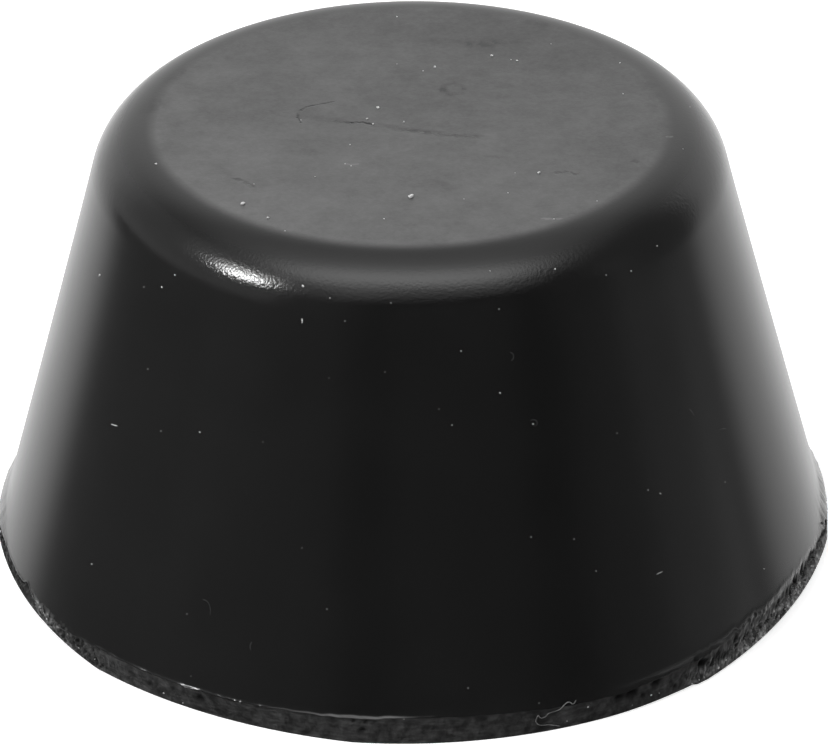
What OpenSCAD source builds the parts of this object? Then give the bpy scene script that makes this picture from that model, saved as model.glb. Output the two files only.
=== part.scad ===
// Rubber lift pad: one solid moulding, a short tapered round block with a flat bearing face,
// a rounded shoulder and a narrow rim at the base that was trimmed by hand after moulding.
// Origin at the middle of the base, +Z up through the bearing face. Millimetres.

/* [Pad] */
// Diameter at the foot of the flank, where it meets the rim
base_d = 60; // [48:0.5:80]
// Diameter at which the flank's line would meet the plane of the top face
top_d = 43.8; // [34:0.2:54]
// Full height, from the surface it stands on to the top face
height = 33.5; // [24:0.5:50]
// Radius that rounds the flank into the top face
shoulder_r = 4.75; // [1:0.25:7]

/* [Trimmed rim] */
// Height of the band at the base that the knife trimmed
rim_h = 2; // [1:0.1:4]
// How far the rim stands out from the flank's foot where the knife left it alone
rim_lip = 0.35; // [0.1:0.05:1]

/* [Hidden] */
$fn = 96;

base_r = base_d / 2;
top_r = top_d / 2;
// Angle that the flank leans inwards from the upright
draft = atan((base_r - top_r) / (height - rim_h));

// The shoulder's arc touches the flank and the top face
shoulder_x = top_r - shoulder_r * tan((90 - draft) / 2);
shoulder_z = height - shoulder_r;

// Each pass of the knife round the rim is one sweep, a little flatter than the rim itself:
// the azimuth of its middle, how far its cut stands out from the flank's foot there (below 0
// it undercuts the flank), and how far the centre of the sweep lies behind the pad's axis
passes = [
    [42, -0.2, 9],
    [74, -0.3, 8],
    [108, -0.1, 6],
    [142, -0.25, 9],
    [206, -0.28, 10],
    [238, -0.29, 7],
    [288, 0.06, 1.2],
    [333, -0.29, 11.5]
];

function polar(r, a) = [r * cos(a), r * sin(a)];

// The shoulder's quarter: a sector of the circle between its two touching points
module shoulder_sector() {
    intersection() {
        circle(r = shoulder_r);
        polygon([[0, 0], 2 * polar(shoulder_r, draft), 2 * polar(shoulder_r, 45), [0, 2 * shoulder_r]]);
    }
}

// Half of the upright section above the rim
module half_section() {
    touch = [shoulder_x, shoulder_z] + polar(shoulder_r, draft);
    polygon([[0, rim_h], [base_r, rim_h], touch, [shoulder_x, shoulder_z], [shoulder_x, height], [0, height]]);
    translate([shoulder_x, shoulder_z]) shoulder_sector();
}

// What one pass of the knife leaves of the rim
module sweep(pass) {
    translate(-polar(pass[2], pass[0])) circle(r = base_r + pass[1] + pass[2]);
}

module trimmed_outline() {
    intersection() {
        circle(r = base_r + rim_lip);
        intersection_for(pass = passes) sweep(pass);
    }
}

module pad() {
    color([0.05, 0.05, 0.052]) {
        rotate_extrude() half_section();
        linear_extrude(height = rim_h) trimmed_outline();
    }
}

pad();
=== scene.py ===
"""The looks of a moulded rubber lift pad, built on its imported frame.

One mesh stands for the whole moulding, with the rim's knife-cut and torn edge in its shape. Dust, lint
and small rubber crumbs lie on it as their own pieces. Lengths are in metres unless a name or comment
says mm, and azimuths are in degrees round the pad's axis: 0 is +X, and -90 faces the camera.
"""
import functools
import math
import random

import bmesh
import bpy
from mathutils import Matrix, Vector, noise
from mathutils.bvhtree import BVHTree


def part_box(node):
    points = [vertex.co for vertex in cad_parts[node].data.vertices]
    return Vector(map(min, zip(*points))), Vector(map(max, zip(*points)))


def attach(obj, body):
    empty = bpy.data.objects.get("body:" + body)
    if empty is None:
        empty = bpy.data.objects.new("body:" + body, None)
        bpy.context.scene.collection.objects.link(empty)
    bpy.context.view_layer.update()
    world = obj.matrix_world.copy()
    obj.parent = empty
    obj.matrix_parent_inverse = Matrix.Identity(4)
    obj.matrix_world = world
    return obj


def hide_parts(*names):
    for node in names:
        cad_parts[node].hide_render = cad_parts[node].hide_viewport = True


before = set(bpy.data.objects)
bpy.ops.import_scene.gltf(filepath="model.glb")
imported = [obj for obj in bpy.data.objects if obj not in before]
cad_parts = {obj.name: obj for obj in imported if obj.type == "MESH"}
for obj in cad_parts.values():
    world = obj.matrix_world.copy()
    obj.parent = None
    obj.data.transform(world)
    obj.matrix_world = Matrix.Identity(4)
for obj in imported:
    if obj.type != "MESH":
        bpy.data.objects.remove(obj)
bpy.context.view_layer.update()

MM = 0.001

# ---------------------------------------------------------------- the pad's sizes, as the frame has them
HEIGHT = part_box("pad")[1].z
FOOT_R = 30 * MM  # flank's foot, where it meets the rim
TOP_R = 21.9 * MM  # where the flank's line meets the plane of the top
SHOULDER_R = 4.75 * MM
RIM_H = 2 * MM
RIM_LIP = 0.35 * MM
FLANK_HOLLOW = 0.05 * MM  # how far the flank bows in at its middle

# Each pass of the knife: azimuth of its middle, stand-out there and setback of its centre, in mm
PASSES = [
    (42, -0.2, 9),
    (74, -0.3, 8),
    (108, -0.1, 6),
    (142, -0.25, 9),
    (206, -0.28, 10),
    (238, -0.29, 7),
    (288, 0.06, 1.2),
    (333, -0.29, 11.5),
]

DRAFT = math.atan((FOOT_R - TOP_R) / (HEIGHT - RIM_H))
SHOULDER_X = TOP_R - SHOULDER_R * math.tan((math.pi / 2 - DRAFT) / 2)
SHOULDER_Z = HEIGHT - SHOULDER_R

# ---------------------------------------------------------------- the camera
PICTURE_W, PICTURE_H = 828, 744  # pixels
LENS = 360  # mm, on a sensor 36 mm wide
SENSOR_W = 36
DISTANCE = 600 * MM  # from the pad's middle
ELEVATION = 29.02
ROLL = -0.54
AIM_RIGHT = 0.168 * MM  # of the pad's middle, across the picture
AIM_DOWN = 3.2 * MM
CLIP_START = 10 * MM


def add_camera():
    """A long lens on the -Y side, looking down on the pad. Returns the camera."""
    rise = math.radians(ELEVATION)
    ahead = Vector((0, math.cos(rise), -math.sin(rise)))
    middle = Vector((0, 0, HEIGHT / 2))
    eye = middle - ahead * DISTANCE
    turn = Matrix.Rotation(-math.radians(ROLL), 3, ahead)
    across = turn @ Vector((1, 0, 0))
    above = across.cross(ahead)
    aim = middle + across * AIM_RIGHT - above * AIM_DOWN
    back = (eye - aim).normalized()
    side = above.cross(back).normalized()
    up = back.cross(side)
    camera = bpy.data.objects.new("camera", bpy.data.cameras.new("camera"))
    camera.data.lens = LENS
    camera.data.sensor_width = SENSOR_W
    camera.data.clip_start = CLIP_START
    camera.matrix_world = Matrix((
        (side.x, up.x, back.x, eye.x),
        (side.y, up.y, back.y, eye.y),
        (side.z, up.z, back.z, eye.z),
        (0, 0, 0, 1),
    ))
    bpy.context.scene.collection.objects.link(camera)
    bpy.context.scene.camera = camera
    return camera


class Sight:
    """Finds the spot on the pad that the camera sees at a pixel of the picture."""

    def __init__(self, camera, pad):
        self.place = camera.matrix_world.copy()
        corners = [vertex.co for vertex in pad.data.vertices]
        self.tree = BVHTree.FromPolygons(corners, [face.vertices for face in pad.data.polygons])

    def spot(self, pixel):
        """The spot and the surface's outward direction there."""
        x, y = pixel
        reach = LENS / SENSOR_W * PICTURE_W
        local = Vector((x - PICTURE_W / 2, PICTURE_H / 2 - y, -reach)).normalized()
        found, facing, _, _ = self.tree.ray_cast(self.place.translation, self.place.to_3x3() @ local)
        if found is None:
            raise ValueError(f"pixel {pixel} doesn't see the pad")
        return found, facing


# ---------------------------------------------------------------- the rim's outline and its torn cut
def between(low, high, x):
    """0 below low, 1 above high, and a smooth step between them."""
    t = min(max((x - low) / (high - low), 0), 1)
    return t * t * (3 - 2 * t)


def turned(azimuth, middle):
    """The signed angle from middle to azimuth, from -180 to 180."""
    return (azimuth - middle + 180) % 360 - 180


def over(azimuth, start, end, soft=4):
    """1 inside the stretch from start to end, 0 outside it, with soft ends."""
    middle, half = (start + end) / 2, (end - start) / 2
    return 1 - between(half - soft, half + soft, abs(turned(azimuth, middle)))


def hump(azimuth, middle, half):
    """1 at middle, about a third at half away from it, and nearly 0 at twice that."""
    return math.exp(-((turned(azimuth, middle) / half) ** 2))


FRACTAL_FALL = 1.0  # how fast the finer octaves of a noise fade
FRACTAL_RATIO = 2.0  # of the grain, from one octave to the next
OCTAVES = 3
TEAR_SLANT = 0.5  # how far a tear leans round the rim for each step up it
TEAR_LENGTH = 5  # a tear's length for each step across it


def bumps(azimuth, z, grain, seed, octaves=OCTAVES):
    """Smooth noise, about -0.5 to 0.5, that runs round the rim without a seam; grain is in mm."""
    a = math.radians(azimuth)
    spot = Vector((FOOT_R * math.cos(a), FOOT_R * math.sin(a), z)) / (grain * MM)
    return noise.fractal(spot + Vector((seed, 0, 0)), FRACTAL_FALL, FRACTAL_RATIO, octaves)


def streaks(azimuth, z, grain, seed):
    """Noise drawn out along the slant in which the rubber tore; grain is its width in mm."""
    along = math.radians(turned(azimuth, 0)) * FOOT_R / MM
    across = along - TEAR_SLANT * z / MM
    spot = Vector((across / grain, z / MM / (TEAR_LENGTH * grain), seed))
    return noise.fractal(spot, FRACTAL_FALL, FRACTAL_RATIO, OCTAVES)


def layered(base, kind, layers, azimuth, z):
    """base with layers of one kind of noise added. A layer has a height, a grain in mm and a seed."""
    for height, grain, seed in layers:
        base += height * kind(azimuth, z, grain, seed)
    return base


# Stretches of the cut, each from one azimuth to another
SCUFFED = (-157, -147)  # scuffed pale
TORN = [(-50, 3), (80, 127)]  # torn into slanting teeth
TORN_LESS = (-58, -38)  # where the tearing began
TORN_LESS_BY = 0.6
SHADY = [(-186, -160), (-5, 16)]  # painted shade, dark between the flecks
ROUGH = [(-179, -137), (27, 40)]  # left rough
WORN = (-176, -128)  # a little paler all over

# The step where one stroke of the knife ended, and how far the rim lies in before it
KNIFE_STEP = -48.8
KNIFE_STEP_IN = 0.17 * MM
KNIFE_STEP_RUN = 14  # degrees over which it fades
KNIFE_STEP_EDGE = 0.7  # degrees over which it ends on its other side


@functools.cache
def rim_radius(azimuth):
    """The trimmed outline's distance from the axis."""
    radius = FOOT_R + RIM_LIP
    for middle, out, setback in PASSES:
        off = math.radians(azimuth - middle)
        sweep = FOOT_R + (out + setback) * MM
        side = setback * MM * math.sin(off)
        radius = min(radius, math.sqrt(sweep * sweep - side * side) - setback * MM * math.cos(off))
    before = turned(azimuth, KNIFE_STEP)
    if -KNIFE_STEP_RUN < before < KNIFE_STEP_EDGE:
        depth = KNIFE_STEP_IN * between(-KNIFE_STEP_RUN, 0, before)
        radius -= depth * (1 - between(0, KNIFE_STEP_EDGE, before))
    return radius


# Height of the cut's upper edge in mm, at azimuths round the rim
CUT_TOPS = [
    (-180, 1.8),
    (-160, 1.75),
    (-149, 1.45),
    (-138, 1.9),
    (-108, 1.9),
    (-86, 2.05),
    (-60, 1.7),
    (-48, 1.95),
    (-36, 2.2),
    (-20, 2.45),
    (-6, 1.85),
    (14, 2.2),
    (60, 2.1),
    (100, 2.3),
    (130, 1.9),
    (166, 2.1),
    (180, 1.8),
]

# How the cut's upper edge wavers: height and grain in mm, and seed
EDGE_WAVES = (0.06, 2.5, 11)
EDGE_JAGS = (0.05, 0.8, 12)
TORN_JAGS = 0.2  # mm more for the jags where the cut is torn

# Nicks that reach up into the flank: azimuth, half width in degrees, and height in mm
EDGE_NICKS = [(-158.5, 1.0, 0.35), (88, 0.5, 0.35), (33, 0.8, 0.3)]


@functools.cache
def cut_top(azimuth):
    """Height of the cut's upper edge."""
    a = turned(azimuth, 0)
    height = CUT_TOPS[-1][1]
    for (start, low), (end, high) in zip(CUT_TOPS, CUT_TOPS[1:]):
        if start <= a < end:
            height = low + (high - low) * between(start, end, a)
    torn = max(over(azimuth, *stretch) for stretch in TORN)
    high_waves, *waves = EDGE_WAVES
    high_jags, *jags = EDGE_JAGS
    high_jags += TORN_JAGS * torn
    height += high_waves * bumps(azimuth, 0, *waves) + high_jags * bumps(azimuth, 0, *jags)
    height += sum(deep * hump(azimuth, middle, half) for middle, half, deep in EDGE_NICKS)
    return height * MM


# Pits in the cut face: azimuth, share of the cut's height, radius and depth in mm. The depth also sets each
# pit's painted shade
PITS = [
    (-158.6, 0.92, 0.5, 0.35),
    (-47.2, 0.72, 0.36, 0.4),
    (-55.5, 0.85, 0.3, 0.25),
    (-59.5, 0.86, 0.4, 0.3),
    (-61.5, 0.82, 0.3, 0.25),
    (-57.6, 0.5, 0.22, 0.15),
    (-52.0, 0.3, 0.25, 0.15),
    (-160.5, 0.7, 0.3, 0.2),
    (-143.5, 0.7, 0.3, 0.13),
    (-120.5, 0.62, 0.3, 0.12),
    (-129, 0.5, 0.25, 0.1),
    (-97, 0.55, 0.2, 0.1),
    (-98.3, 0.9, 0.12, 0.17),
    (-96.6, 0.9, 0.11, 0.17),
    (31, 0.5, 0.4, 0.4),
    (97, 0.7, 0.35, 0.35),
    (151, 0.35, 0.3, 0.3),
]
PIT_SHADE = 3  # the painted shade that a pit gets, for each mm of its depth

# The relief of the cut, in mm behind its smooth face, and the layers of noise in it
SMOOTH_IN = 0.03
SMOOTH_LAYERS = [(0.05, 0.9, 1), (0.04, 0.25, 2)]
ROUGH_IN = 0.1
ROUGH_HEIGHT = 0.3
ROUGH_GRAIN = 0.5
ROUGH_OCTAVES = 4
MOST_PROUD = -0.02

# The torn teeth: the share of the cut's height that they reach, their relief in mm, and the hollow above
TIP = 0.62
TIP_LOWER = (-60, -24)  # azimuths over which they are shorter
TIP_LOWER_BY = 0.2
TIP_LAYERS = [(0.3, 0.8, 21), (0.3, 0.25, 25)]
TOOTH_IN = 0.1
TOOTH_LAYERS = [(-0.4, 0.24, 22), (-0.2, 0.13, 23)]
TOOTH_PROUD = -0.03  # a tooth stands out no more than this
HOLLOW_IN = 0.3
# painted shade in the hollow just over the teeth's tips
HOLLOW_SHADE = 0.5


def torn_relief(azimuth, share, z):
    """The depth in mm of the teeth, with a hollow just over their tips, and the hollow's share."""
    tip = TIP - TIP_LOWER_BY * over(azimuth, *TIP_LOWER, soft=8)
    tip = layered(tip, streaks, TIP_LAYERS, azimuth, z)
    hollow = between(tip - 0.05, tip + 0.05, share) * (1 - between(tip + 0.12, tip + 0.3, share))
    teeth = layered(TOOTH_IN, streaks, TOOTH_LAYERS, azimuth, z)
    under_tip = 1 - between(tip - 0.05, tip + 0.15, share)
    return HOLLOW_IN * hollow + max(teeth, TOOTH_PROUD) * under_tip, hollow


def cut_depth(azimuth, share, z):
    """How far in behind its smooth face the cut lies, in mm, and how much painted shade it gets there, up
    to 1.
    """
    torn = torn_share(azimuth)
    rough = max(over(azimuth, *stretch, soft=3) for stretch in ROUGH)
    depth = layered(SMOOTH_IN, bumps, SMOOTH_LAYERS, azimuth, z)
    rough_bumps = bumps(azimuth, z, ROUGH_GRAIN, seed=3, octaves=ROUGH_OCTAVES)
    depth += rough * (ROUGH_IN + ROUGH_HEIGHT * rough_bumps)
    painted_shade = 0.0
    if torn > 0:
        relief, hollow = torn_relief(azimuth, share, z)
        depth += torn * relief
        painted_shade += HOLLOW_SHADE * torn * hollow
    for middle, at, radius, deep in PITS:
        along = math.radians(turned(azimuth, middle)) * FOOT_R / MM
        gap = math.hypot(along, (share - at) * RIM_H / MM)
        inside = math.exp(-((gap / radius) ** 2))
        depth += deep * inside
        painted_shade += inside * min(PIT_SHADE * deep, 1)
    return max(depth, MOST_PROUD), min(painted_shade, 1)


# Burrs on the cut's upper edge: azimuth, half width in degrees, and how far they stand out in mm
BURRS = [
    (-122.3, 1.3, 0.11),
    (-104, 5, 0.08),
    (-114.9, 0.2, 0.07),
    (-114.1, 0.14, 0.08),
    (-111.2, 0.3, 0.05),
    (-135.5, 0.6, 0.05),
    (-130.5, 1.2, 0.04),
    (143, 0.9, 0.12),
    (61, 0.5, 0.1),
]


# The sharp edge between the burrs: how far it stands out in mm, and by how much more where it is ragged
EDGE_OUT = 0.02
EDGE_RAGGED = 0.05
EDGE_GRAIN = 1.1
BLUNT = (-88, -20)  # azimuths over which it is blunter
BLUNT_BY = 0.7

# How far in the tearing drew the edge, in mm, and how that varies
DRAWN_IN = 0.1
DRAWN_VARIES = 0.05
DRAWN_GRAIN = 0.6


@functools.cache
def burr(azimuth):
    """How far the sharp upper edge of the cut stands out."""
    ragged = max(bumps(azimuth, 0, EDGE_GRAIN, seed=31), 0)
    out = (EDGE_OUT + EDGE_RAGGED * ragged) * (1 - BLUNT_BY * over(azimuth, *BLUNT))
    return (out + sum(high * hump(azimuth, middle, half) for middle, half, high in BURRS)) * MM


def torn_share(azimuth):
    """1 where the rim is torn into teeth, 0 where it isn't, and between where the tearing began."""
    torn = max(over(azimuth, *stretch, soft=5) for stretch in TORN)
    return torn * (1 - TORN_LESS_BY * over(azimuth, *TORN_LESS, soft=5))


@functools.cache
def rounded_off(azimuth):
    """How far in the tearing drew the upper edge of the cut."""
    return torn_share(azimuth) * (DRAWN_IN + DRAWN_VARIES * bumps(azimuth, 0, DRAWN_GRAIN, seed=41)) * MM


# ---------------------------------------------------------------- the pad's mesh
FINE_POINTS = 10  # to a degree of the rim where it is torn or rough
PLAIN_POINTS = 5  # to a degree elsewhere
FLANK_EVERY = 5  # of the rim's points, one of so many goes on up the flank
CUT_ROWS = 16
FLANK_ROWS = 12
SHOULDER_ROWS = 20
UNDERSIDE_RINGS = (0.3, 0.6, 0.85, 0.97)  # as shares of the rim's radius
TOP_RINGS = (0.98, 0.7, 0.35)  # as shares of the flat top's radius
# The attribute rise, which goes from 0 on the flank to 1 at the shoulder's upper end
UNDERSIDE_RISE = 0.9
TOP_RISE = 1.1
MARKED_Z = HEIGHT - 1.6 * MM  # the finish with the marks goes down to here


def rim_azimuths():
    """Azimuths round the rim, closer together where the cut is torn or rough."""
    found = []
    for degree in range(360):
        inside = max(over(degree + 0.5, *stretch, soft=0.01) for stretch in TORN + ROUGH)
        count = FINE_POINTS if inside > 0.5 else PLAIN_POINTS
        found += [degree + i / count for i in range(count)]
    return found


def flank_radius(z):
    """The flank's distance from the axis at height z."""
    share = (z - RIM_H) / (HEIGHT - RIM_H)
    bow = FLANK_HOLLOW * 4 * share * (1 - share)
    return FOOT_R - (z - RIM_H) * math.tan(DRAFT) - bow


class Rings:
    """A closed mesh made of rings of points round the axis, each joined to the ring before it."""

    def __init__(self, azimuths):
        self.azimuths = azimuths
        self.points, self.faces = [], []
        self.paint = {"cut": [], "rise": [], "wear_and_painted_light": []}
        self.last = None

    def ring(self, every, place, rise=0.0):
        """Adds a ring at one of every so many azimuths. place(azimuth) gives radius, z, cut and
        wear_and_painted_light.
        """
        start = len(self.points)
        azimuths = self.azimuths[::every]
        for azimuth in azimuths:
            radius, z, cut, wear_and_painted_light = place(azimuth)
            a = math.radians(azimuth)
            self.points.append((radius * math.cos(a), radius * math.sin(a), z))
            self.mark(cut, rise, wear_and_painted_light)
        if self.last:
            self.join(*self.last, start, len(azimuths))
        self.last = (start, len(azimuths))

    def mark(self, cut, rise, wear_and_painted_light):
        for name, value in (("cut", cut), ("rise", rise), ("wear_and_painted_light", wear_and_painted_light)):
            self.paint[name].append(value)

    def join(self, low, low_count, high, high_count):
        """Joins two rings, outside out. One may have a whole number of times the other's points."""
        if low_count == high_count:
            for i in range(low_count):
                j = (i + 1) % low_count
                self.faces.append((low + i, low + j, high + j, high + i))
            return
        fine, fine_count, coarse, coarse_count = low, low_count, high, high_count
        flip = high_count > low_count
        if flip:
            fine, fine_count, coarse, coarse_count = high, high_count, low, low_count
        times = fine_count // coarse_count
        half = times // 2
        for i in range(coarse_count):
            j = (i + 1) % coarse_count
            steps = [fine + (i * times + k) % fine_count for k in range(times + 1)]
            fans = [(steps[k], steps[k + 1], coarse + (i if k <= half else j)) for k in range(times)]
            fans.append((steps[half + 1], coarse + j, coarse + i))
            self.faces += [tuple(reversed(fan)) if flip else fan for fan in fans]

    def cap(self, z, under, rise=0.0):
        """Closes the last ring with a fan to a point on the axis; under is true at the underside."""
        start, count = self.last
        tip = len(self.points)
        self.points.append((0, 0, z))
        self.mark(0, rise, 0)
        for i in range(count):
            j = (i + 1) % count
            self.faces.append((start + j, start + i, tip) if under else (start + i, start + j, tip))


def underside(rings):
    """Starts the mesh at the middle of the flat underside, which is nearly as matt as the top."""
    for share in UNDERSIDE_RINGS:
        rings.ring(FLANK_EVERY, lambda a, s=share: (rim_radius(a) * s, 0, 0, 0), rise=UNDERSIDE_RISE)
        if share == UNDERSIDE_RINGS[0]:
            rings.cap(0, under=True, rise=UNDERSIDE_RISE)


BOTTOM_EDGE = 0.06 * MM  # the chamfer at the foot of the cut
BOTTOM_WEAR = 0.2
MOULDED_AT_TOP = 0.6  # the share of the moulded finish at a torn upper edge

# The attribute wear_and_painted_light on the cut: over 0 it pales the rubber, for wear, and under 0 it
# darkens it, as painted shade
PLAIN_WEAR = 0.06
PROUD_WEAR = 0.17  # more where the cut stands out, as wear on what stands out; it also leaves the hollows darker, as painted shade
STRETCH_WEAR = 0.14  # more over the stretch WORN
SCUFF_WEAR = 0.5
SCUFF_LAYERS = [(2.2, 0.3, 7)]
TOOTH_WEAR = 1.2
TOOTH_WEAR_LAYERS = [(4, 0.16, 24)]
SHADY_BY = 0.25
SHADY_LAYERS = [(-1.5, 0.3, 26)]

# Pale flecks low down on the torn cut: the wear around them, and of them where their noise is over a level
FLECK_WEAR = 0.5
FLECK_GAIN = 9
FLECK_GRAIN = 0.22
FLECK_LEVEL = 0.08


def cut_wear_and_shade(azimuth, share, z, depth, painted_shade):
    """How pale or dark the cut is, at a share of its height and that deep in mm: paler for wear, darker for
    painted shade in pits, hollows and the shady stretches.
    """
    torn = torn_share(azimuth)
    proud = 1 - between(0.02, 0.25, depth)
    wear_and_painted_light = PLAIN_WEAR + PROUD_WEAR * proud + STRETCH_WEAR * over(azimuth, *WORN, soft=8)
    wear_and_painted_light += over(azimuth, *SCUFFED, soft=3) * layered(SCUFF_WEAR, bumps, SCUFF_LAYERS, azimuth, z)
    on_teeth = 1 - between(0.62, 0.85, share)
    wear_and_painted_light += torn * on_teeth * layered(TOOTH_WEAR, streaks, TOOTH_WEAR_LAYERS, azimuth, z)
    low_down = 1 - between(0.25, 0.55, share)
    flecks = FLECK_WEAR + FLECK_GAIN * max(bumps(azimuth, z, FLECK_GRAIN, seed=51) - FLECK_LEVEL, 0)
    wear_and_painted_light += torn * low_down * flecks
    # Painted shade over the SHADY stretches, and deep in pits and hollows
    shady = max(over(azimuth, *stretch, soft=3) for stretch in SHADY)
    shady *= layered(SHADY_BY, bumps, SHADY_LAYERS, azimuth, z)
    wear_and_painted_light = max(wear_and_painted_light, 0) * (1 - painted_shade) - painted_shade - max(shady, 0)
    return max(wear_and_painted_light, -1)


def cut_face(rings):
    """The knife's cut, from the bottom edge up to the flank's foot."""
    def place(azimuth, share):
        top = cut_top(azimuth)
        z = max(share * top, BOTTOM_EDGE)
        low = rim_radius(azimuth)
        lip = max(low - FOOT_R, 0)
        radius = low + (flank_radius(top) + lip - rounded_off(azimuth) - low) * share
        depth, painted_shade = cut_depth(azimuth, share, z)
        off_ends = between(0, 0.06, share) * (1 - between(0.94, 1, share))
        wear_and_painted_light = cut_wear_and_shade(azimuth, share, z, depth, painted_shade)
        cut = 1 - MOULDED_AT_TOP * torn_share(azimuth) * between(0.8, 1, share)
        return radius - depth * off_ends * MM, z, cut, wear_and_painted_light

    rings.ring(1, lambda a: (rim_radius(a) - BOTTOM_EDGE, 0, 1, BOTTOM_WEAR))
    for row in range(CUT_ROWS + 1):
        rings.ring(1, lambda a, s=row / CUT_ROWS: place(a, s))


# The flank's foot over the cut: height over the cut's edge in mm, and the share there of the lip where the
# knife left it sharp, of the lip where it is rounded, of the lip where it flares, of a burr, of the edge's
# rounding off, and of the soft ridge
FOOT = [
    (0.04, 1, 0.96, 0.98, 1, 0.8, 0),
    (0.09, 0.7, 0.9, 0.94, 0.7, 0.6, 0),
    (0.14, 0.36, 0.8, 0.9, 0.3, 0.43, 0),
    (0.19, 0.1, 0.68, 0.86, 0.05, 0.3, 0.02),
    (0.28, 0, 0.45, 0.78, 0, 0.14, 0.15),
    (0.37, 0, 0.3, 0.7, 0, 0.05, 0.6),
    (0.46, 0, 0.18, 0.61, 0, 0, 1),
    (0.55, 0, 0.08, 0.53, 0, 0, 0.6),
    (0.68, 0, 0, 0.41, 0, 0, 0.1),
    (0.82, 0, 0, 0.29, 0, 0, 0),
    (0.97, 0, 0, 0.17, 0, 0, 0),
    (1.15, 0, 0, 0.06, 0, 0, 0),
]
SHARP_FOOT = (-112, -91)  # azimuths
FLARED = [(-200, -174), (-6, 20)]  # azimuths over which the lip flares out of the flank
RIDGE = (-58, -20)  # azimuths over which the tearing pushed up a soft ridge in the flank
RIDGE_OUT = 0.03 * MM
FOOT_ENDS = 2.4 * MM  # how far over the rim the flank's first plain ring is
TORN_OVER = 0.5  # the share of the cut's finish just over a torn edge

# The attribute wear_and_painted_light on the foot: real scuffs, and painted highlights along the burr, the
# soft ridge and the flared lip
# painted highlight, where the flared lip catches the light
FLARE_HIGHLIGHT = 4
RIDGE_HIGHLIGHT = 0.4
BURR_HIGHLIGHT = 0.4
SCUFF_WEAR_OVER = 0.4  # over the scuffed stretch of the cut


def flank(rings):
    """From the cut's upper edge to the shoulder."""
    for over_edge, of_sharp, of_round, of_flare, of_burr, of_tear, of_ridge in FOOT:
        def place(azimuth):
            z = cut_top(azimuth) + over_edge * MM
            sharp = over(azimuth, *SHARP_FOOT, soft=3)
            flare = max(over(azimuth, *stretch, soft=5) for stretch in FLARED)
            of_lip = of_sharp * sharp + of_flare * flare + of_round * (1 - sharp - flare)
            lip = max(rim_radius(azimuth) - FOOT_R, 0) * of_lip
            ridge = over(azimuth, *RIDGE, soft=8) * of_ridge
            out = lip + burr(azimuth) * of_burr + RIDGE_OUT * ridge - rounded_off(azimuth) * of_tear
            scuffed = over(azimuth, *SCUFFED, soft=3) * (1 - between(0.1, 0.6, over_edge))
            flecks = scuffed * max(layered(SCUFF_WEAR_OVER, bumps, SCUFF_LAYERS, azimuth, z), 0)
            cut = max(TORN_OVER * of_tear * torn_share(azimuth), min(flecks, 1))
            # Painted highlights on the burr, the ridge and the flared lip, with the real scuff's flecks
            wear_and_painted_light = BURR_HIGHLIGHT * of_burr * sharp + RIDGE_HIGHLIGHT * ridge + flecks + FLARE_HIGHLIGHT * flare * of_flare
            return flank_radius(z) + out, z, cut, wear_and_painted_light
        rings.ring(1, place)
    low = RIM_H + FOOT_ENDS
    high = SHOULDER_Z + SHOULDER_R * math.sin(DRAFT)
    for row in range(FLANK_ROWS):
        z = low + (high - low) * row / FLANK_ROWS
        rings.ring(FLANK_EVERY, lambda a, z=z: (flank_radius(z), z, 0, 0))


def shoulder_and_top(rings):
    """The rounded shoulder, and the flat top up to its middle."""
    for row in range(SHOULDER_ROWS + 1):
        tilt = DRAFT + (math.pi / 2 - DRAFT) * row / SHOULDER_ROWS
        radius = SHOULDER_X + SHOULDER_R * math.cos(tilt)
        z = SHOULDER_Z + SHOULDER_R * math.sin(tilt)
        rings.ring(FLANK_EVERY, lambda a, r=radius, z=z: (r, z, 0, 0), rise=row / SHOULDER_ROWS)
    for share in TOP_RINGS:
        rings.ring(FLANK_EVERY, lambda a, r=SHOULDER_X * share: (r, HEIGHT, 0, 0), rise=TOP_RISE)
    rings.cap(HEIGHT, under=False, rise=TOP_RISE)


def add_mesh(name, points, faces, smooth=True):
    """Adds a mesh of that name to the scene and returns its object."""
    mesh = bpy.data.meshes.new(name)
    mesh.from_pydata(points, [], faces)
    mesh.validate()
    if smooth:
        mesh.shade_smooth()
    piece = bpy.data.objects.new(name, mesh)
    bpy.context.scene.collection.objects.link(piece)
    return piece


def add_pad():
    """The whole moulding as one closed mesh, with its attributes cut, rise and wear_and_painted_light."""
    rings = Rings(rim_azimuths())
    underside(rings)
    cut_face(rings)
    flank(rings)
    shoulder_and_top(rings)
    pad = add_mesh("pad_rubber", rings.points, rings.faces)
    for name, values in rings.paint.items():
        pad.data.attributes.new(name, "FLOAT", "POINT").data.foreach_set("value", values)
    for face in pad.data.polygons:
        face.material_index = int(face.center.z > MARKED_Z)
    return pad


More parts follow.
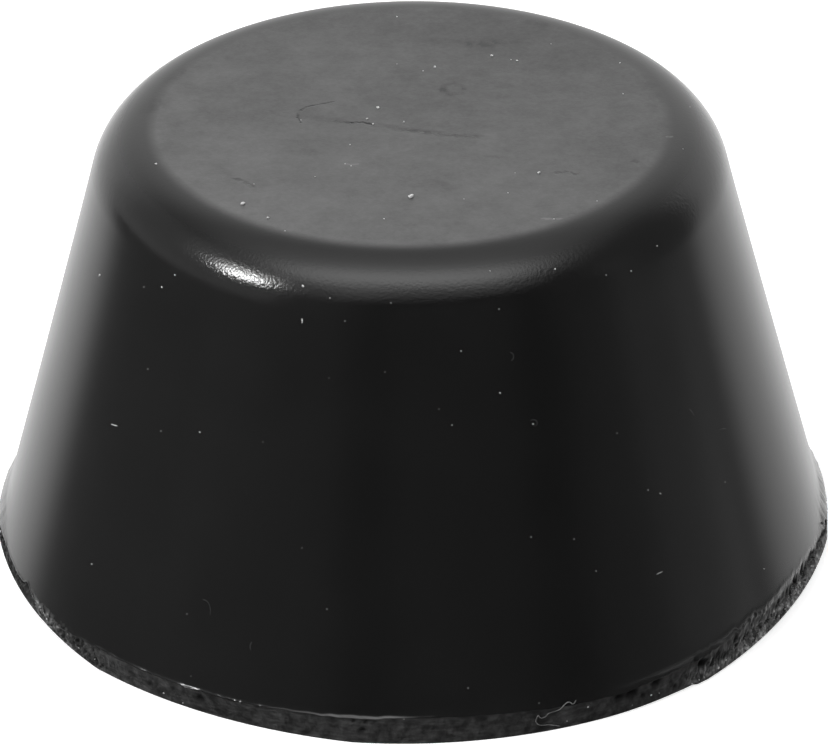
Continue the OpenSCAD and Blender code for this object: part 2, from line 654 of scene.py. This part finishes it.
# ---------------------------------------------------------------- node helpers
class Graph:
    """The node tree of a material, lamp or world, with calls that add a node and fill its sockets."""

    def __init__(self, owner):
        self.tree = owner.node_tree
        self.tree.nodes.clear()

    def node(self, kind, inputs=(), **settings):
        made = self.tree.nodes.new(kind)
        for name, value in settings.items():
            setattr(made, name, value)
        for name, value in dict(inputs).items():
            if isinstance(value, bpy.types.NodeSocket):
                self.tree.links.new(value, made.inputs[name])
            else:
                made.inputs[name].default_value = value
        return made

    def math(self, operation, a, b=0.0, clamp=False):
        return self.node("ShaderNodeMath", {0: a, 1: b}, operation=operation, use_clamp=clamp).outputs[0]

    def add(self, *values):
        total = values[0]
        for value in values[1:]:
            total = self.math("ADD", total, value)
        return total

    def times(self, a, b):
        return self.math("MULTIPLY", a, b)

    def vector(self, operation, a, b=(0, 0, 0)):
        made = self.node("ShaderNodeVectorMath", {0: a, 1: b}, operation=operation)
        return made.outputs["Value" if operation in ("DOT_PRODUCT", "LENGTH", "DISTANCE") else "Vector"]

    def scaled(self, vector, factor):
        made = self.node("ShaderNodeVectorMath", {0: vector, "Scale": factor}, operation="SCALE")
        return made.outputs["Vector"]

    def step(self, value, low, high, to_low=0.0, to_high=1.0):
        """A smooth step from to_low at low to to_high at high."""
        inputs = {"Value": value, "From Min": low, "From Max": high, "To Min": to_low, "To Max": to_high}
        return self.node("ShaderNodeMapRange", inputs, interpolation_type="SMOOTHSTEP").outputs[0]

    def varied(self, value, low, high):
        """Goes from low to high as a noise's value goes over its usual reach."""
        return self.step(value, 0.3, 0.7, low, high)

    def noise(self, place, scale, detail=3.0, roughness=0.5):
        inputs = {"Vector": place, "Scale": scale, "Detail": detail, "Roughness": roughness}
        return self.node("ShaderNodeTexNoise", inputs).outputs[0]

    def attribute(self, name):
        return self.node("ShaderNodeAttribute", attribute_name=name).outputs["Fac"]

    def place(self):
        """The place on the piece, in mm."""
        return self.scaled(self.node("ShaderNodeTexCoord").outputs["Object"], 1 / MM)

    def grey(self, tone):
        return self.node("ShaderNodeCombineColor", {0: tone, 1: tone, 2: tone}).outputs[0]

    def mix(self, share, a, b):
        return self.add(self.times(self.math("SUBTRACT", 1.0, share), a), self.times(share, b))

    def stroke(self, place, start, end):
        """The distance from place to the straight line from start to end."""
        line = end - start
        off = self.vector("SUBTRACT", place, start)
        along = self.vector("DOT_PRODUCT", off, line)
        share = self.math("MULTIPLY", along, 1 / line.length_squared, clamp=True)
        return self.vector("DISTANCE", off, self.scaled(tuple(line), share))


# ---------------------------------------------------------------- rubber
# Marks: half width in mm, change of tone, depth in mm, and the pixels that the mark runs through
MARKS = {
    "hooked_scratch": (
        0.16, -0.045, 0.02, [(333, 102), (322, 104), (306, 107), (299, 112), (298, 117), (301, 123)]),
    "gash": (0.22, -0.06, 0.05, [(352, 123), (362, 122.5), (371, 124.5)]),
    "gash_tail": (0.25, -0.02, 0.01, [(336, 121.5), (352, 123.5)]),
    "crease_left": (0.7, -0.012, 0.004, [(268, 112), (300, 117), (350, 123)]),
    "crease_right": (0.6, -0.018, 0.008, [(374, 125), (412, 131), (445, 134.5), (478, 137)]),
    "crease_core": (0.4, -0.016, 0.005, [(404, 130), (430, 132.5), (452, 135), (474, 136.5)]),
    "scratch_left": (0.35, -0.028, 0.015, [(236, 179), (245, 183), (253, 187)]),
    "scratch_left_faint": (0.45, -0.012, 0.0, [(208, 158), (222, 169), (236, 179)]),
    "nick_right": (0.35, -0.03, 0.015, [(557, 173), (566, 172.5), (575, 174.5)]),
    "short_scratch": (0.35, -0.014, 0.0, [(487, 156), (500, 157)]),
    "band_back": (1.0, -0.012, 0.0, [(434, 41), (455, 43), (490, 42), (528, 40)]),
    "band_back_dark": (0.8, -0.018, 0.0, [(474, 44), (492, 45)]),
    "smudge_middle": (1.1, -0.008, 0.0, [(400, 70), (425, 95)]),
    "smudge_left": (0.7, -0.016, 0.0, [(306, 150), (314, 153)]),
    "smudge_right": (0.8, -0.012, 0.0, [(495, 84), (508, 86)]),
    "smudge_spot": (0.35, -0.024, 0.0, [(634, 161), (638, 162)]),
    "smudge_edge": (1.0, -0.01, 0.0, [(612, 105), (630, 108)]),
    "smudge_low": (0.8, -0.01, 0.0, [(420, 184), (436, 182), (452, 187)]),
    "smudge_corner": (1.3, -0.016, 0.0, [(152, 108), (162, 102)]),
    "smudge_far_left": (1.0, -0.012, 0.0, [(172, 79), (188, 71), (204, 66)]),
    "smudge_far_right": (1.0, -0.012, 0.0, [(648, 86), (656, 104)]),
    "smudge_back": (0.7, -0.014, 0.0, [(529, 22), (543, 25)]),
    "pale_scuff": (0.18, 0.05, 0.0, [(344, 163), (350, 165), (358, 164)]),
    "pale_line": (0.2, 0.05, 0.0, [(543, 218.5), (552, 219), (561, 218.5)]),
    "pale_dash": (0.14, 0.05, 0.0, [(667, 137), (673, 136.5)]),
    "ring_low": (0.5, -0.026, 0.0, [(443, 90), (450, 94), (460, 93), (464, 89)]),
    "ring_high": (0.4, -0.018, 0.0, [(443, 90), (445, 85), (454, 83.5), (462, 86)]),
}
FAR = 100.0  # mm, further than any mark is
MARK_CORE = 0.1  # the share of a mark's width over which it shows in full
BREAK_SCALE = 1.5  # of the noise that breaks a mark up
BREAK_LEVELS = (0.36, 0.58)  # of that noise, and how strong the mark is at them
BREAK_STRENGTHS = (0.3, 1.25)


def mark_lines(sight):
    """Each mark's points on the pad, in mm."""
    return {name: [sight.spot(pixel)[0] / MM for pixel in mark[-1]] for name, mark in MARKS.items()}


def marked(g, place, lines):
    """Adds up the marks' change of tone and their depth."""
    breaks = g.noise(place, BREAK_SCALE, 3, 0.65)
    broken = g.step(breaks, *BREAK_LEVELS, *BREAK_STRENGTHS)  # no mark is even along its length
    tone, depth = 0.0, 0.0
    for name, points in lines.items():
        width, change, deep, _ = MARKS[name]
        near = FAR
        for start, end in zip(points, points[1:]):
            near = g.math("MINIMUM", near, g.stroke(place, start, end))
        shown = g.times(g.step(near, MARK_CORE * width, width, 1.0, 0.0), broken)
        tone = g.add(tone, g.times(shown, change))
        if deep:
            depth = g.add(depth, g.times(shown, deep))
    return tone, depth


# Tones of the rubber, as shares of white
FLANK_TONES = (0.0055, 0.0085)
FLANK_WEAR_AND_HIGHLIGHT = 0.045  # added where wear_and_painted_light is 1, for wear and for the painted highlights of the foot
TOP_TONES = (0.044, 0.064)
PAINTED_LIGHT_LEAN = (-0.5, -0.85, 0)  # painted light: the way in which the top gets paler, towards the front left
PAINTED_LIGHT_LEAN_BY = 0.0011  # for each mm
CUT_TONE = 0.006
CUT_WORN = 0.07
DARKEST = 0.003
PAINTED_SHADE_TONE = 0.006  # painted shade: a dull dark tone for rubber so deep in a pit that it would mirror only more rubber

FLANK_ROUGHNESS = (0.2, 0.25)
TOP_ROUGHNESS = 0.38
CUT_ROUGHNESS = 0.6
GRAINY_LESS = 0.09  # how much less rough the grainy band is

# Heights of the fine grain, in mm
FLANK_GRIT = 0.0003
TOP_GRIT = 0.006
GRAINY_GRIT = 0.012
CUT_GRIT = 0.014

RUBBER_IOR = 1.5
SHAKE = 0.35  # mm within which the marks wander from their lines


def shaken_place(g, place):
    """The place, moved about so that the marks' edges are uneven."""
    shake = g.node("ShaderNodeTexNoise", {"Vector": place, "Scale": 3.0, "Detail": 2.0}).outputs["Color"]
    return g.vector("ADD", place, g.scaled(g.vector("SUBTRACT", shake, (0.5, 0.5, 0.5)), SHAKE))


def bloom_tone(g, place, cloud):
    """The uneven grey bloom of the top, with painted light that makes it paler towards the front left."""
    blotch = g.noise(place, 0.45, 4, 0.65)
    smears = g.noise(g.vector("MULTIPLY", place, (0.5, 1.0, 1.0)), 0.9, 4, 0.65)
    speckle = g.noise(place, 2.2, 2, 0.6)
    grain = g.noise(place, 5.0, 2, 0.6)
    uneven = g.add(g.varied(blotch, -0.008, 0.008), g.varied(smears, -0.003, 0.003))
    specks = g.add(g.varied(speckle, -0.005, 0.005), g.varied(grain, -0.004, 0.004))
    # painted light, paler towards the front left
    painted_light = g.times(g.vector("DOT_PRODUCT", place, PAINTED_LIGHT_LEAN), PAINTED_LIGHT_LEAN_BY)
    return g.add(g.varied(cloud, *TOP_TONES), uneven, specks, painted_light)


def torn_tone(g, place, pale_wear_and_highlight):
    """The mottled tone of the knife's cut."""
    knife = g.noise(g.vector("MULTIPLY", place, (0.7, 0.7, 6.0)), 1.0, 3, 0.6)
    mottle = g.times(g.varied(g.noise(place, 1.3, 4, 0.65), 0.35, 1.65), g.varied(knife, 0.7, 1.3))
    return g.times(g.add(CUT_TONE, g.times(pale_wear_and_highlight, CUT_WORN)), mottle)


def rubber_material(name, lines):
    """The rubber: glossy on the flank, matt with bloom on the top, and torn where cut is 1. Painted shade
    and painted highlights come in through wear_and_painted_light.
    """
    material = bpy.data.materials.new(name)
    material.use_nodes = True
    g = Graph(material)
    place = g.place()
    cut, rise, wear_and_painted_light = g.attribute("cut"), g.attribute("rise"), g.attribute("wear_and_painted_light")
    pale_wear_and_highlight = g.math("MAXIMUM", wear_and_painted_light, 0.0)
    painted_shade = g.math("MULTIPLY", wear_and_painted_light, -1.0, clamp=True)  # the painted shade deep in a pit or under a torn edge
    bloom = g.step(rise, 0.86, 1.06)  # the matt bloom on the top
    matt = g.step(rise, 0.2, 1.0)
    grainy = g.times(g.step(rise, 0.02, 0.2), g.step(rise, 0.4, 0.65, 1.0, 0.0))  # round the lower shoulder
    cloud = g.noise(place, 0.16, 5, 0.6)
    mark_tone, mark_depth = marked(g, shaken_place(g, place), lines)

    flank_tone = g.add(g.mix(cloud, *FLANK_TONES), g.times(pale_wear_and_highlight, FLANK_WEAR_AND_HIGHLIGHT))
    moulded_tone = g.add(g.mix(bloom, flank_tone, bloom_tone(g, place, cloud)), mark_tone)
    tone = g.math("MAXIMUM", g.mix(cut, moulded_tone, torn_tone(g, place, pale_wear_and_highlight)), DARKEST)

    moulded_roughness = g.mix(matt, g.mix(cloud, *FLANK_ROUGHNESS), TOP_ROUGHNESS)
    moulded_roughness = g.math("SUBTRACT", moulded_roughness, g.times(grainy, GRAINY_LESS))
    roughness = g.mix(cut, moulded_roughness, CUT_ROUGHNESS)

    fine = g.noise(place, 4.5, 2, 0.6)
    moulded_grit = g.add(g.step(rise, 0.0, 0.25, FLANK_GRIT, TOP_GRIT), g.times(grainy, GRAINY_GRIT))
    height = g.math("SUBTRACT", g.times(fine, g.mix(cut, moulded_grit, CUT_GRIT)), mark_depth)
    bump = g.node("ShaderNodeBump", {"Strength": 1.0, "Distance": MM, "Height": height})

    rubber = g.node("ShaderNodeBsdfPrincipled", {
        "Base Color": g.grey(tone), "Roughness": roughness, "IOR": RUBBER_IOR, "Normal": bump.outputs[0]})
    # Painted shade: a dull dark diffuse mixed in for the rubber deep in pits and under torn edges
    shade = g.node("ShaderNodeBsdfDiffuse", {"Color": (PAINTED_SHADE_TONE, PAINTED_SHADE_TONE, PAINTED_SHADE_TONE, 1)})
    shader = g.node("ShaderNodeMixShader", {0: painted_shade, 1: rubber.outputs[0], 2: shade.outputs[0]})
    g.node("ShaderNodeOutputMaterial", {"Surface": shader.outputs[0]})
    return material


# ---------------------------------------------------------------- dust and lint
# Grains of dust: the pixel where each lies, and its size in mm
DUST = [
    (411, 197, 0.29),
    (243, 204, 0.24),
    (268, 218, 0.15),
    (156, 164, 0.11),
    (378, 108, 0.16),
    (404, 122, 0.11),
    (435, 67, 0.12),
    (492, 56, 0.14),
    (517, 61, 0.11),
    (539, 173, 0.15),
    (508, 193, 0.07),
    (384, 219, 0.08),
    (350, 145, 0.09),
    (315, 177, 0.08),
    (397, 17, 0.09),
    (367, 119, 0.12),
    (373, 124, 0.09),
    (301, 120, 0.05),
    (397, 64, 0.04),
    (423, 71, 0.06),
    (351, 166, 0.06),
    (620, 63, 0.08),
    (551, 44, 0.06),
    (464, 199, 0.04),
    (100, 275, 0.13),
    (162, 287, 0.1),
    (144, 287, 0.05),
    (303, 286, 0.13),
    (330, 298, 0.05),
    (345, 321, 0.05),
    (200, 432, 0.09),
    (161, 431, 0.05),
    (92, 564, 0.07),
    (187, 614, 0.04),
    (327, 609, 0.045),
    (302, 548, 0.035),
    (148, 369, 0.05),
    (329, 378, 0.035),
    (385, 372, 0.035),
    (461, 351, 0.055),
    (499, 309, 0.05),
    (500, 393, 0.075),
    (452, 425, 0.05),
    (439, 409, 0.035),
    (391, 303, 0.05),
    (263, 442, 0.04),
    (531, 537, 0.055),
    (574, 539, 0.055),
    (596, 571, 0.055),
    (648, 490, 0.055),
    (617, 433, 0.045),
    (725, 482, 0.045),
    (764, 569, 0.06),
    (468, 688, 0.06),
    (533, 424, 0.08),
    (555, 269, 0.085),
    (606, 275, 0.05),
    (631, 271, 0.06),
    (657, 246, 0.06),
    (554, 219, 0.065),
    (175, 275, 0.07),
    (345, 164, 0.06),
    (511, 60, 0.07),
    (623, 94, 0.07),
    (285, 231, 0.06),
    (597, 201, 0.05),
    (515, 173, 0.05),
    (683, 149, 0.05),
    (490, 271, 0.05),
    (690, 107, 0.05),
    (254, 184, 0.05),
]

# Rubber crumbs and grit caught on the rim: the pixel where each lies, and its size in mm
CRUMBS = [
    # The first grain also stands in for the glint of the burr there: a painted highlight
    (260, 706, 0.05),
    (164, 693, 0.12),
    (191, 676, 0.05),
    (183, 703, 0.06),
    (588, 707, 0.1),
    (539, 703, 0.06),
    (567, 721, 0.06),
    (632, 705, 0.07),
    (659, 693, 0.08),
    (651, 695, 0.1),
    (692, 684, 0.12),
    (699, 680, 0.08),
    (704, 677, 0.07),
    (718, 668, 0.14),
    (726, 660, 0.11),
    (738, 653, 0.1),
    (746, 645, 0.09),
    (752, 638, 0.11),
    (763, 631, 0.1),
    (778, 617, 0.16),
    (785, 609, 0.1),
    (792, 600, 0.12),
    (796, 591, 0.18),
    (804, 582, 0.15),
    (811, 566, 0.12),
    (816, 556, 0.1),
    (821, 548, 0.14),
    (823, 523, 0.2),
    (36, 603, 0.12),
    (40, 607, 0.16),
    (44, 613, 0.12),
    (47, 619, 0.1),
    (68, 634, 0.1),
    (79, 648, 0.07),
    (95, 659, 0.06),
    (404, 719, 0.06),
]

# Short shreds of lint: their width in mm, and the pixels that each runs through
SHREDS = {
    "shoulder": (0.07, [(302, 318.5), (302.5, 321), (302, 323)]),
    "left": (0.05, [(111.5, 424), (114, 425), (117.5, 426)]),
    "right": (0.035, [(656.5, 574.5), (659, 573), (662.5, 571.5)]),
    "spot": (0.035, [(659.5, 493), (661, 494)]),
}

# Fine hairs, almost as dark as the rubber under them
HAIR_WIDTH = 0.03  # mm
HAIRS = {
    "left_arc": [(203, 599.5), (207, 601), (209.5, 605), (210.5, 610), (210, 615)],
    "left_arc_low": [(252, 642), (250, 646), (251, 650)],
    "right_flake": [(719, 430), (722, 428.5), (726, 429)],
    "curl": [(530, 421), (533, 419.5), (536.5, 421), (537, 424.5), (533.5, 426.5)],
    "hook": [(510, 352), (513, 354), (513.5, 358), (511, 361)],
    "short_line": [(689, 409), (692, 412), (694, 416)],
}

# The strand of lint caught on the rim
LINT_WIDTH = 0.075  # mm
LINT_UPPER = [
    (576, 700), (573, 704), (569, 702), (565, 704), (561, 708), (558, 710),
    (553, 711.5), (548, 713.5), (546, 716), (541, 718), (538, 715),
]
LINT_LOWER = [(538, 715), (536, 719), (536, 722), (540, 725), (550, 724.5), (560, 726)]

# Grains on the side away from the camera: how many, where, and their least size and how much they gain
UNSEEN_DUST = 70
UNSEEN_AZIMUTHS = (8, 172)
UNSEEN_HEIGHTS = (4, 27)  # mm
UNSEEN_SIZES = (0.05, 0.1)  # mm
SEED = 7

# The shape of a grain
GRAIN_SCALE = 1.3  # a grain is seen smaller than it is, because its edges are thin and turned away
GRAIN_STRETCH = (0.8, 1.25)
GRAIN_LUMPS = 0.5
LUMP_SCALE = 2.2
GRAIN_FLATNESS = 0.7
GRAIN_OUT = 0.25  # its middle lies this share of its size over the surface

# The shape of a hair
HAIR_SIDES = 6
HAIR_TIP = 0.6  # its width at its ends, as a share
HAIR_OUT = 0.45  # its middle lies this share of its width over the surface

# The dry tones of each kind of litter, from the darkest to the palest
DUST_TONES = (0.6, 0.85)
HAIR_TONES = (0.05, 0.11)
CRUMB_TONES = (0.18, 0.55)
LINT_TONES = (0.09, 0.16)
LITTER_ROUGHNESS = 0.85
LITTER_IOR = 1.45


def rounded_path(points, steps=4):
    """A smooth curve through the points."""
    path = []
    last = len(points) - 1
    for i in range(last):
        before, a, b, after = points[max(i - 1, 0)], points[i], points[i + 1], points[min(i + 2, last)]
        for k in range(steps):
            t = k / steps
            path.append(0.5 * (2 * a + (b - before) * t + (2 * before - 5 * a + 4 * b - after) * t * t
                               + (3 * a - before - 3 * b + after) * t ** 3))
    return path + [points[-1]]


class Litter:
    """Collects grains and hairs in one mesh."""

    def __init__(self):
        self.points, self.faces = [], []
        self.draw = random.Random(SEED)
        ball = bmesh.new()
        bmesh.ops.create_icosphere(ball, subdivisions=2, radius=0.5)
        self.ball = [vertex.co.copy() for vertex in ball.verts]
        self.ball_faces = [[vertex.index for vertex in face.verts] for face in ball.faces]
        ball.free()

    def grain(self, spot, facing, size):
        """A lumpy, flattish grain of that size in mm, lying on the surface."""
        start = len(self.points)
        spin = Matrix.Rotation(self.draw.uniform(0, math.tau), 3, "Z")
        lean = facing.to_track_quat("Z", "Y").to_matrix() @ spin
        stretch = self.draw.uniform(*GRAIN_STRETCH)
        lumps = Vector((self.draw.uniform(0, 100), 0, 0))
        for corner in self.ball:
            radius = GRAIN_SCALE * size * MM * (1 + GRAIN_LUMPS * noise.noise(LUMP_SCALE * corner + lumps))
            shaped = Vector((corner.x * stretch, corner.y / stretch, corner.z * GRAIN_FLATNESS))
            self.points.append(spot + facing * size * MM * GRAIN_OUT + lean @ shaped * radius)
        self.faces += [[start + i for i in face] for face in self.ball_faces]

    def hair(self, path, width):
        """A closed tube of that width in mm along the path."""
        sides = HAIR_SIDES
        start = len(self.points)
        for i, middle in enumerate(path):
            ahead = (path[min(i + 1, len(path) - 1)] - path[max(i - 1, 0)]).normalized()
            side = ahead.orthogonal().normalized()
            taper = HAIR_TIP if i in (0, len(path) - 1) else 1
            for k in range(sides):
                turn = Matrix.Rotation(math.tau * k / sides, 3, ahead)
                self.points.append(middle + turn @ side * width * MM * 0.5 * taper)
        for i in range(len(path) - 1):
            low = start + i * sides
            shift = self.shift(low, sides)
            for k in range(sides):
                j = (k + 1) % sides
                above_k, above_j = (low + sides + (corner + shift) % sides for corner in (k, j))
                self.faces.append([low + k, low + j, above_j, above_k])
        self.faces.append([start + k for k in reversed(range(sides))])
        self.faces.append([start + (len(path) - 1) * sides + k for k in range(sides)])

    def shift(self, low, sides):
        """How many corners the next ring is turned by, so that its corners lie nearest to this one's."""
        first = self.points[low]
        gaps = [(self.points[low + sides + k] - first).length for k in range(sides)]
        return gaps.index(min(gaps))


def laid(sight, pixels, width):
    """A smooth path through the pixels, resting on the surface that they show."""
    spots = []
    for pixel in pixels:
        spot, facing = sight.spot(pixel)
        spots.append(spot + facing * width * MM * HAIR_OUT)
    return rounded_path(spots)


def scattered(litter):
    """Adds the grains on the side away from the camera."""
    smallest, larger = UNSEEN_SIZES
    for _ in range(UNSEEN_DUST):
        azimuth = math.radians(litter.draw.uniform(*UNSEEN_AZIMUTHS))
        z = litter.draw.uniform(*UNSEEN_HEIGHTS) * MM
        x_share, y_share = math.cos(azimuth), math.sin(azimuth)
        facing = Vector((x_share * math.cos(DRAFT), y_share * math.cos(DRAFT), math.sin(DRAFT)))
        spot = Vector((flank_radius(z) * x_share, flank_radius(z) * y_share, z))
        litter.grain(spot, facing, smallest + larger * litter.draw.random() ** 3)


def add_dust(sight):
    litter = Litter()
    for x, y, size in DUST:
        litter.grain(*sight.spot((x, y)), size)
    for width, pixels in SHREDS.values():
        litter.hair(laid(sight, pixels, width), width)
    scattered(litter)
    return add_mesh("dust", litter.points, litter.faces)


def add_hairs(sight):
    litter = Litter()
    for pixels in HAIRS.values():
        litter.hair(laid(sight, pixels, HAIR_WIDTH), HAIR_WIDTH)
    return add_mesh("fine_hairs", litter.points, litter.faces)


def add_crumbs(sight):
    litter = Litter()
    for x, y, size in CRUMBS:
        litter.grain(*sight.spot((x, y)), size)
    return add_mesh("rim_crumbs", litter.points, litter.faces)


def add_lint(sight):
    litter = Litter()
    for pixels in (LINT_UPPER, LINT_LOWER):
        litter.hair(laid(sight, pixels, LINT_WIDTH), LINT_WIDTH)
    return add_mesh("lint_strand", litter.points, litter.faces)


def litter_material(name, dark, pale):
    """A dry, matt finish that varies between two tones from grain to grain."""
    material = bpy.data.materials.new(name)
    material.use_nodes = True
    g = Graph(material)
    tone = g.mix(g.step(g.noise(g.place(), 2.5, 1, 0.5), 0.35, 0.65), dark, pale)
    shader = g.node("ShaderNodeBsdfPrincipled", {
        "Base Color": g.grey(tone), "Roughness": LITTER_ROUGHNESS, "IOR": LITTER_IOR})
    g.node("ShaderNodeOutputMaterial", {"Surface": shader.outputs[0]})
    return material


# ---------------------------------------------------------------- floor, world and lamps
FLOOR_HALF = 3.0
FLOOR_TONE = 0.9
FLOOR_LIFT = 0.45  # added for the camera's own rays


def add_floor():
    """A pale floor that shows the pad's shadow and contact."""
    half = FLOOR_HALF
    corners = [(-half, -half, 0), (half, -half, 0), (half, half, 0), (-half, half, 0)]
    floor = add_mesh("floor", corners, [(0, 1, 2, 3)], smooth=False)
    material = bpy.data.materials.new("floor_pale")
    material.use_nodes = True
    g = Graph(material)
    rays = g.node("ShaderNodeLightPath")
    paper = g.node("ShaderNodeBsdfDiffuse", {"Color": (FLOOR_TONE, FLOOR_TONE, FLOOR_TONE, 1)})
    lift = g.node("ShaderNodeEmission", {"Strength": g.times(rays.outputs["Is Camera Ray"], FLOOR_LIFT)})
    both = g.node("ShaderNodeAddShader", {0: paper.outputs[0], 1: lift.outputs[0]})
    g.node("ShaderNodeOutputMaterial", {"Surface": both.outputs[0]})
    floor.data.materials.append(material)
    floor.visible_glossy = False  # so the pad mirrors the panels that hang lower than the floor
    floor.visible_shadow = False


# Soft panels of light, as the pad sees them: azimuth and elevation of the middle, the half width and half
# height as tangents, the softness of the edge, and the brightness
PANELS = {
    "backdrop": (85.5, -12, 1.56, 1.6, 0.6, 0.89),
    "overhead": (-80, 80, 0.7, 0.9, 0.33, 0.65),
    "strobe": (-155, 31, 0.11, 0.035, 0.045, 66),
    "strobe_glow": (-158, 36, 0.16, 0.08, 0.08, 9),
    "back_right": (89, 66, 0.36, 1.6, 0.22, 0.24),
    "front_top": (-93, 73.5, 0.57, 0.25, 0.28, 2.3),
    "left_wall": (-178, 25, 0.83, 0.42, 0.05, 0.37),
    "floor_right": (-10, -17, 0.43, 0.05, 0.06, 0.9),
    "backdrop_core": (88, -22, 0.7, 0.6, 0.4, 0.28),
    "left_low": (163, -8, 0.75, 0.5, 0.35, 0.11),
    "front_left": (-137, 8, 0.48, 0.4, 0.05, 0.08),
    "front_middle": (-76, 6, 0.36, 0.3, 0.08, 0.05),
    "front_right": (-24, 10, 0.3, 0.38, 0.12, 0.08),
    "right_wall": (8, 16, 0.5, 0.75, 0.15, 0.15),
    "top_left": (-149, 45, 0.6, 0.28, 0.09, 0.33),
}
PANEL_DISTANCE = 2.0
AMBIENT = 0.03


def add_panel(name, azimuth, elevation, half_w, half_h, soft, strength):
    """A rectangular lamp that faces the pad and fades out towards its edges."""
    a, e = math.radians(azimuth), math.radians(elevation)
    out = Vector((math.cos(a) * math.cos(e), math.sin(a) * math.cos(e), math.sin(e)))
    across = Vector((-math.sin(a), math.cos(a), 0))
    above = out.cross(across)
    lamp = bpy.data.lights.new(name, "AREA")
    lamp.shape = "RECTANGLE"
    half_sizes = (half_w + soft, half_h + soft)
    lamp.size, lamp.size_y = (2 * PANEL_DISTANCE * half for half in half_sizes)
    lamp.energy = strength * math.pi * lamp.size * lamp.size_y
    lamp.use_nodes = True
    g = Graph(lamp)
    spread = g.node("ShaderNodeSeparateXYZ", {0: g.node("ShaderNodeNewGeometry").outputs["Parametric"]})
    shown = 1.0
    for axis, half, reach in (("X", half_w, half_sizes[0]), ("Y", half_h, half_sizes[1])):
        off = g.math("ABSOLUTE", g.math("SUBTRACT", spread.outputs[axis], 0.5))
        edges = (half - soft) / reach / 2, (half + soft) / reach / 2
        shown = g.times(shown, g.step(off, *edges, 1.0, 0.0))
    glow = g.node("ShaderNodeEmission", {"Strength": shown})
    g.node("ShaderNodeOutputLight", {"Surface": glow.outputs[0]})
    panel = bpy.data.objects.new(name, lamp)
    place = out * PANEL_DISTANCE
    panel.matrix_world = Matrix((
        (across.x, above.x, out.x, place.x),
        (across.y, above.y, out.y, place.y),
        (across.z, above.z, out.z, place.z),
        (0, 0, 0, 1),
    ))
    bpy.context.scene.collection.objects.link(panel)


def add_world():
    """A dim room that the camera's own rays see as white."""
    world = bpy.data.worlds.new("studio")
    bpy.context.scene.world = world
    world.use_nodes = True
    g = Graph(world)
    camera_ray = g.node("ShaderNodeLightPath").outputs["Is Camera Ray"]
    strength = g.mix(camera_ray, AMBIENT, 1.0)
    background = g.node("ShaderNodeBackground", {"Color": (1, 1, 1, 1), "Strength": strength})
    g.node("ShaderNodeOutputWorld", {"Surface": background.outputs[0]})


def finish_piece(piece, *materials):
    """Gives the piece its materials and lets it ride on the pad's body."""
    for material in materials:
        piece.data.materials.append(material)
    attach(piece, "root")


bpy.context.scene.view_settings.view_transform = "Standard"
camera = add_camera()
pad = add_pad()
sight = Sight(camera, pad)
finish_piece(pad, rubber_material("rubber_sides", {}), rubber_material("rubber_top", mark_lines(sight)))
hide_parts("pad")
finish_piece(add_dust(sight), litter_material("dust", *DUST_TONES))
finish_piece(add_hairs(sight), litter_material("hair", *HAIR_TONES))
finish_piece(add_crumbs(sight), litter_material("crumbs", *CRUMB_TONES))
finish_piece(add_lint(sight), litter_material("lint", *LINT_TONES))
add_floor()
add_world()
for name, panel in PANELS.items():
    add_panel(name, *panel)
